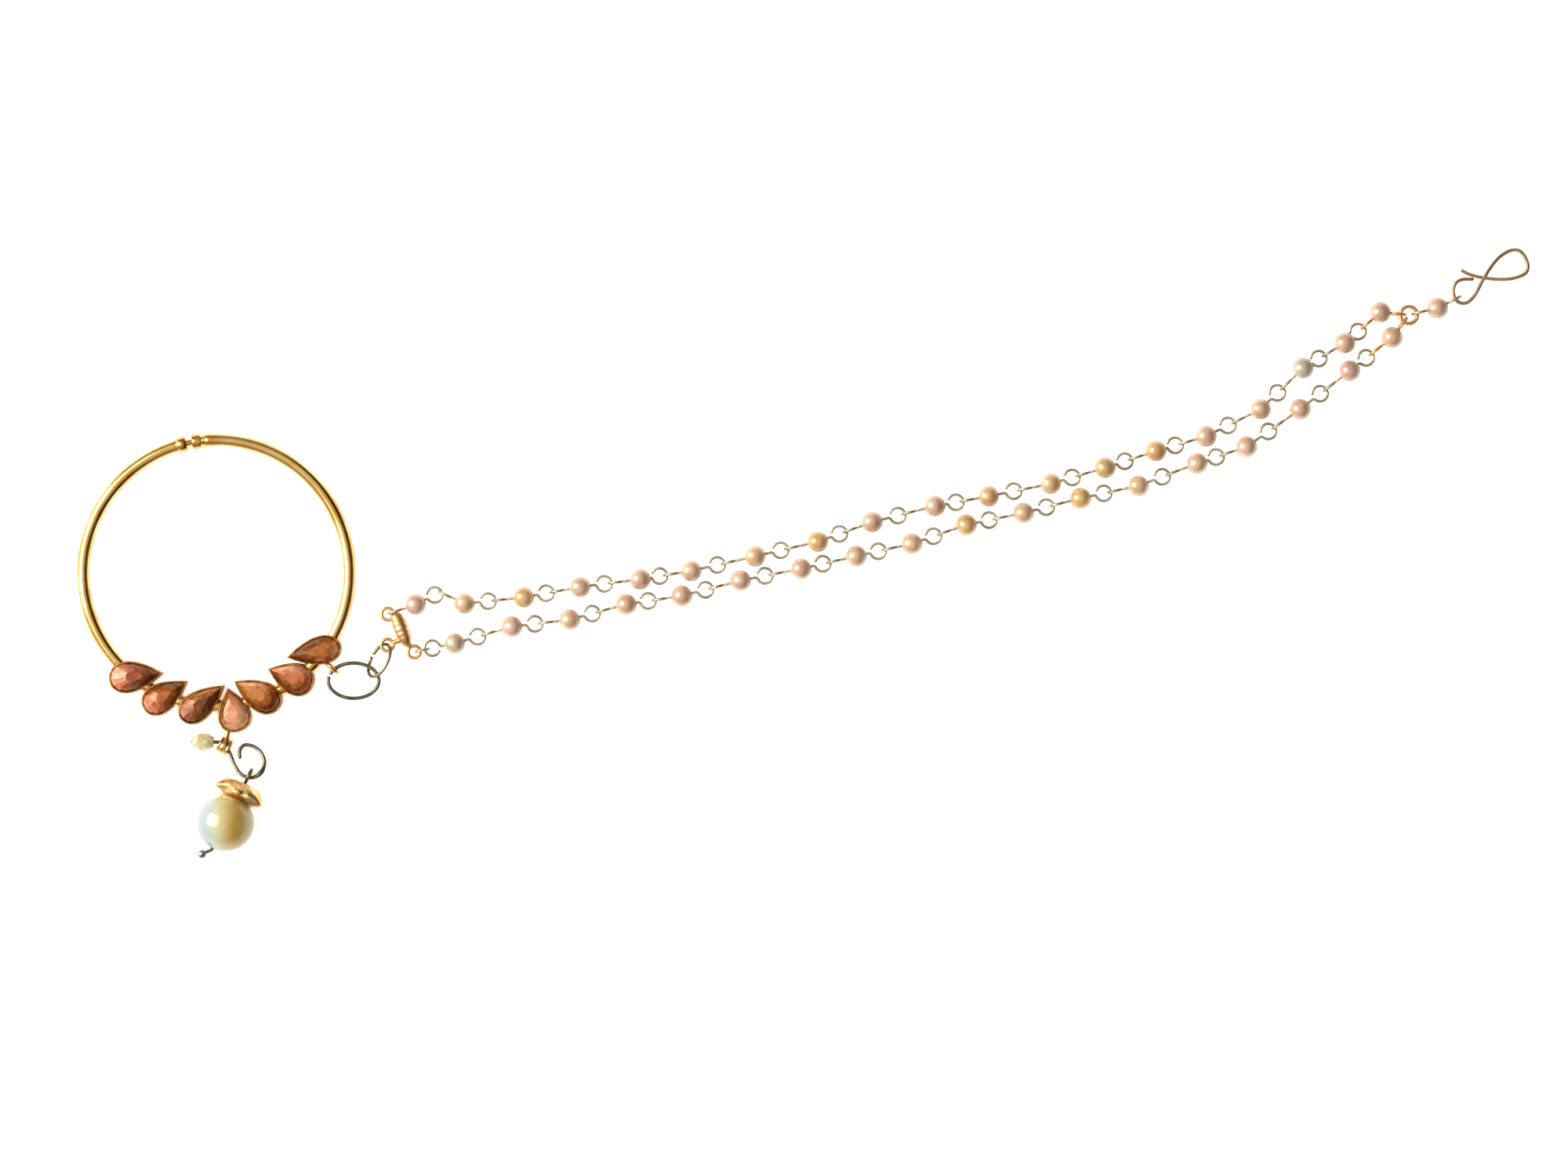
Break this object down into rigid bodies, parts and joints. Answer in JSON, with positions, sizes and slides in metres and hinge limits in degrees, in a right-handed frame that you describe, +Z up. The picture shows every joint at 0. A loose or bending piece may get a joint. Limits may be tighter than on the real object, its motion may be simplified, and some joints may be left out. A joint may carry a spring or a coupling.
{
  "type": "nath nose ring",
  "caption": "Gold-toned nath nose ring lying flat: a hoop with pear-shaped stones along its lower arc and a pearl drop, joined to bead strands that end in a wire hair hook.",
  "frame": {"origin": "middle of the whole outline, at the surface that the piece lies on", "axes": "+X along the strands, from the hoop to the hook; +Y toward the hoop's closure; +Z up, off the surface"},
  "size_m": [0.2084, 0.0874, 0.0083],
  "materials": {
    "hoop_gold": "polished gold plating on the hoop and its settings",
    "peach_stone": "faceted copper-peach foiled glass",
    "pale_wire": "thin pale gold-plated wire",
    "cap_gold": "bright gold plating",
    "cream_pearl": "imitation pearl coating, cream with a gold side",
    "clear_crystal": "clear faceted glass",
    "cast_gold": "cast gold-plated metal",
    "champagne_bead": "champagne pearl coating on glass beads, with pale gold eye pins",
    "hook_wire": "brownish gold wire"
  },
  "bodies": {
    "root": {"hoop": "hoop_gold", "stone_1": "peach_stone", "stone_2": "peach_stone", "stone_3": "peach_stone", "stone_4": "peach_stone", "stone_5": "peach_stone", "stone_6": "peach_stone", "stone_7": "peach_stone", "drop_ring": "pale_wire", "crystal_bead": "clear_crystal", "bead_cap": "cap_gold", "drop_pearl": "cream_pearl", "drop_pin": "pale_wire", "chain_ring": "pale_wire", "oval_link": "pale_wire", "connector": "cast_gold", "strand_link": "pale_wire", "strand_upper": "champagne_bead", "strand_lower": "champagne_bead", "junction_ring": "cast_gold", "end_bead": "champagne_bead", "hair_hook": "hook_wire"}
  },
  "joints": []
}
